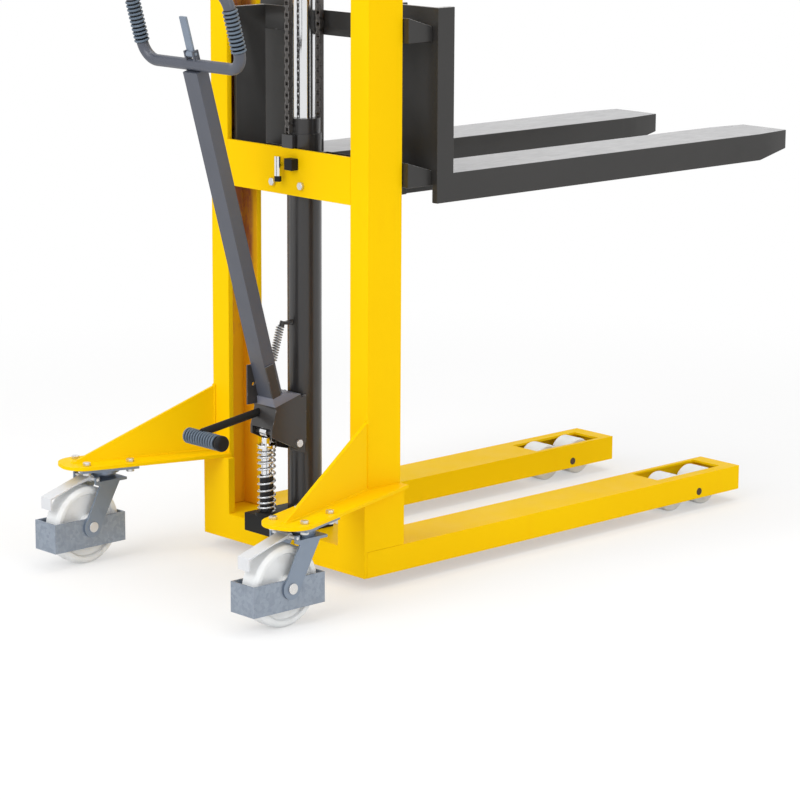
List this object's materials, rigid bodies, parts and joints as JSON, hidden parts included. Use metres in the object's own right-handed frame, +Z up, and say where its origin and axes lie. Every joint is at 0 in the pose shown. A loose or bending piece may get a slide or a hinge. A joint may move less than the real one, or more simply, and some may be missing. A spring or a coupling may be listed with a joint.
{
  "type": "hand pallet stacker",
  "caption": "Manual stacker with straddle legs, a chain-lifted fork carriage in a welded mast, a tiller and foot pedal pump, load rollers and braked casters.",
  "frame": {"origin": "on the floor, in the middle of the machine's width and length", "axes": "+X across to the machine's right as seen from behind, +Y forward along the forks, +Z up"},
  "size_m": [0.8464, 1.806, 2.026],
  "materials": {
    "yellow_paint": "glossy yellow enamel",
    "black_paint": "semi-gloss black enamel",
    "grey_paint": "satin dark grey enamel",
    "zinc": "zinc plated steel",
    "steel": "bare or oiled steel",
    "chrome": "hard chrome",
    "nylon": "white nylon",
    "black_rubber": "moulded black rubber"
  },
  "bodies": {
    "frame": {"rear_frame": "yellow_paint", "leg_right": "yellow_paint", "leg_left": "yellow_paint", "mast_upright_right": "yellow_paint", "mast_upright_left": "yellow_paint", "mid_beam": "yellow_paint", "top_beam": "yellow_paint", "caster_bracket_right": "yellow_paint", "caster_bracket_left": "yellow_paint", "caster_plates": "zinc", "frame_bolts": "zinc", "hinge_pins": "zinc", "pump_block": "black_paint", "lift_cylinder": "black_paint", "chain_anchor": "black_paint", "lift_chain_rear": "steel", "pump_barrel": "steel", "pump_spring": "steel", "pivot_bracket": "black_paint", "return_spring": "steel", "guide_peg": "chrome", "guide_tip": "black_rubber", "stop_block": "black_rubber"},
    "ram": {"lift_ram": "chrome", "crosshead": "black_paint", "lift_chain_front": "steel"},
    "sheave": {"chain_sheave": "steel"},
    "carriage": {"carriage_frame": "black_paint", "mast_roller_axles": "steel", "fork_right": "black_paint", "fork_left": "black_paint"},
    "pump_lever": {"pump_lever": "black_paint", "tiller_tube": "grey_paint", "handle_loop": "grey_paint", "handle_grips": "black_rubber", "pedal_arm": "black_paint", "pedal_grip": "black_rubber"},
    "pump_plunger": {"plunger": "chrome"},
    "pressure_roller": {"pressure_roller": "steel"},
    "release": {"release_lever": "zinc"},
    "mast_roller_lower_right": {"mast_roller_lower_right": "steel"},
    "mast_roller_lower_left": {"mast_roller_lower_left": "steel"},
    "mast_roller_upper_right": {"mast_roller_upper_right": "steel"},
    "mast_roller_upper_left": {"mast_roller_upper_left": "steel"},
    "bogie_right": {"bogie_right": "steel"},
    "load_roller_rear_right": {"load_roller_rear_right": "nylon"},
    "load_roller_front_right": {"load_roller_front_right": "nylon"},
    "bogie_left": {"bogie_left": "steel"},
    "load_roller_rear_left": {"load_roller_rear_left": "nylon"},
    "load_roller_front_left": {"load_roller_front_left": "nylon"},
    "caster_right": {"caster_yoke_right": "zinc", "foot_guard_right": "zinc", "caster_axle_right": "zinc"},
    "caster_wheel_right": {"caster_wheel_right": "nylon"},
    "brake_right": {"brake_pedal_right": "zinc"},
    "caster_left": {"caster_yoke_left": "zinc", "foot_guard_left": "zinc", "caster_axle_left": "zinc"},
    "caster_wheel_left": {"caster_wheel_left": "nylon"},
    "brake_left": {"brake_pedal_left": "zinc"}
  },
  "joints": [
    {"name": "ram_lift", "type": "slide", "parent": "frame", "child": "ram", "axis": [0, 0, 1], "range_m": [-0.4, 0.34], "deforming": ["lift_chain_rear"]},
    {"name": "carriage_lift", "type": "slide", "parent": "ram", "child": "carriage", "axis": [0, 0, 1], "range_m": [-0.4, 0.34], "deforming": ["lift_chain_front"]},
    {"name": "sheave_turn", "type": "hinge", "parent": "ram", "child": "sheave", "pos_m": [0, -0.423, 1.499], "axis": [1, 0, 0], "continuous": true},
    {"name": "mast_roller_lower_right_turn", "type": "hinge", "parent": "carriage", "child": "mast_roller_lower_right", "pos_m": [0.2258, -0.4225, 0.94], "axis": [1, 0, 0], "continuous": true},
    {"name": "mast_roller_lower_left_turn", "type": "hinge", "parent": "carriage", "child": "mast_roller_lower_left", "pos_m": [-0.2258, -0.4225, 0.94], "axis": [1, 0, 0], "continuous": true},
    {"name": "mast_roller_upper_right_turn", "type": "hinge", "parent": "carriage", "child": "mast_roller_upper_right", "pos_m": [0.2258, -0.4225, 1.219], "axis": [1, 0, 0], "continuous": true},
    {"name": "mast_roller_upper_left_turn", "type": "hinge", "parent": "carriage", "child": "mast_roller_upper_left", "pos_m": [-0.2258, -0.4225, 1.219], "axis": [1, 0, 0], "continuous": true},
    {"name": "bogie_right_rock", "type": "hinge", "parent": "frame", "child": "bogie_right", "pos_m": [0.216, 0.622, 0.047], "axis": [1, 0, 0], "range_deg": [-6, 6]},
    {"name": "load_roller_rear_right_turn", "type": "hinge", "parent": "bogie_right", "child": "load_roller_rear_right", "pos_m": [0.216, 0.565, 0.046], "axis": [1, 0, 0], "continuous": true},
    {"name": "load_roller_front_right_turn", "type": "hinge", "parent": "bogie_right", "child": "load_roller_front_right", "pos_m": [0.216, 0.679, 0.046], "axis": [1, 0, 0], "continuous": true},
    {"name": "bogie_left_rock", "type": "hinge", "parent": "frame", "child": "bogie_left", "pos_m": [-0.216, 0.622, 0.047], "axis": [1, 0, 0], "range_deg": [-6, 6]},
    {"name": "load_roller_rear_left_turn", "type": "hinge", "parent": "bogie_left", "child": "load_roller_rear_left", "pos_m": [-0.216, 0.565, 0.046], "axis": [1, 0, 0], "continuous": true},
    {"name": "load_roller_front_left_turn", "type": "hinge", "parent": "bogie_left", "child": "load_roller_front_left", "pos_m": [-0.216, 0.679, 0.046], "axis": [1, 0, 0], "continuous": true},
    {"name": "caster_right_swivel", "type": "hinge", "parent": "frame", "child": "caster_right", "pos_m": [0.348, -0.736, 0.205], "axis": [0, 0, 1], "continuous": true},
    {"name": "caster_wheel_right_turn", "type": "hinge", "parent": "caster_right", "child": "caster_wheel_right", "pos_m": [0.348, -0.799, 0.09], "axis": [1, 0, 0], "continuous": true},
    {"name": "brake_right_press", "type": "hinge", "parent": "caster_right", "child": "brake_right", "pos_m": [0.348, -0.784, 0.1977], "axis": [1, 0, 0], "range_deg": [0, 9], "stiffness_Nm_per_rad": 3, "springref_deg": -8.59},
    {"name": "caster_left_swivel", "type": "hinge", "parent": "frame", "child": "caster_left", "pos_m": [-0.348, -0.736, 0.205], "axis": [0, 0, 1], "continuous": true},
    {"name": "caster_wheel_left_turn", "type": "hinge", "parent": "caster_left", "child": "caster_wheel_left", "pos_m": [-0.348, -0.799, 0.09], "axis": [1, 0, 0], "continuous": true},
    {"name": "brake_left_press", "type": "hinge", "parent": "caster_left", "child": "brake_left", "pos_m": [-0.348, -0.784, 0.1977], "axis": [1, 0, 0], "range_deg": [0, 9], "stiffness_Nm_per_rad": 3, "springref_deg": -8.59},
    {"name": "pump_stroke", "type": "hinge", "parent": "frame", "child": "pump_lever", "pos_m": [0, -0.473, 0.296], "axis": [1, 0, 0], "range_deg": [0, 42], "stiffness_Nm_per_rad": 60, "springref_deg": -40.11, "deforming": ["return_spring"]},
    {"name": "plunger_stroke", "type": "slide", "parent": "frame", "child": "pump_plunger", "axis": [0, 0, 1], "range_m": [-0.0518, 0], "deforming": ["pump_spring"]},
    {"name": "pressure_roller_turn", "type": "hinge", "parent": "pump_lever", "child": "pressure_roller", "pos_m": [0, -0.538, 0.3263], "axis": [1, 0, 0], "continuous": true},
    {"name": "release_pull", "type": "hinge", "parent": "pump_lever", "child": "release", "pos_m": [0, -0.74467, 1.1915], "axis": [1, 0, 0], "range_deg": [0, 18], "stiffness_Nm_per_rad": 1.5, "springref_deg": -14.32}
  ],
  "couplings": [
    {"joint": "carriage_lift", "follows": "ram_lift", "ratio": 1},
    {"joint": "sheave_turn", "follows": "ram_lift", "rad_per_m": 21.739},
    {"joint": "mast_roller_lower_right_turn", "follows": "ram_lift", "rad_per_m": 55.556},
    {"joint": "mast_roller_lower_left_turn", "follows": "ram_lift", "rad_per_m": 55.556},
    {"joint": "mast_roller_upper_right_turn", "follows": "ram_lift", "rad_per_m": -55.556},
    {"joint": "mast_roller_upper_left_turn", "follows": "ram_lift", "rad_per_m": -55.556},
    {"joint": "plunger_stroke", "follows": "pump_stroke", "m_per_rad": -0.06995}
  ]
}
